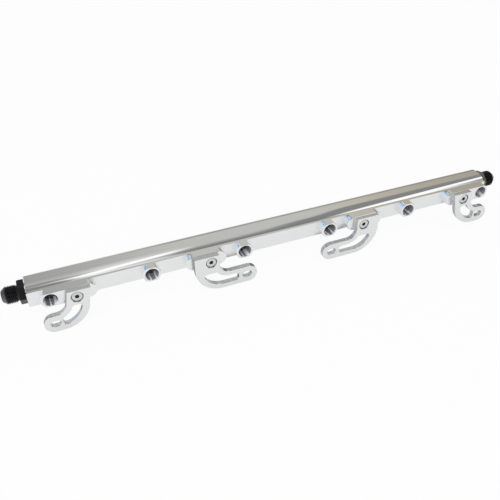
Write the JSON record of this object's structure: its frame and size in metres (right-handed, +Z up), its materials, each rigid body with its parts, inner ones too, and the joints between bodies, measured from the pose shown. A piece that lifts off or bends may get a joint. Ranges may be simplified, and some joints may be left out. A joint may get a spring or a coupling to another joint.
{
  "type": "fuel rail",
  "caption": "Long machined fuel rail: a polished bar with injector cups in milled pads, hook-shaped slotted brackets on its front and a black flare adapter screwed into each end.",
  "frame": {"origin": "midway between the outer bolt slots, on the face that the brackets bear on", "axes": "+X along the rail to the right seen from the front, -Y the way the injector ports open, +Z up"},
  "size_m": [0.6004, 0.0468, 0.0509],
  "materials": {
    "polished_aluminium": "mirror polished extrusion, front and pads milled satin",
    "satin_aluminium": "bright satin plate with milled edges",
    "screw_steel": "bright zinc-plated steel",
    "black_anodised": "glossy black anodised aluminium",
    "seal_rubber": "smooth black rubber"
  },
  "bodies": {
    "root": {"rail_body": "polished_aluminium", "bracket_short_left": "satin_aluminium", "screw_short_left": "screw_steel", "bracket_long_left": "satin_aluminium", "screw_long_left": "screw_steel", "bracket_long_right": "satin_aluminium", "screw_long_right": "screw_steel", "bracket_short_right": "satin_aluminium", "screw_short_right": "screw_steel", "left_adapter": "black_anodised", "left_adapter_seal": "seal_rubber", "right_adapter": "black_anodised", "right_adapter_seal": "seal_rubber"}
  },
  "joints": []
}
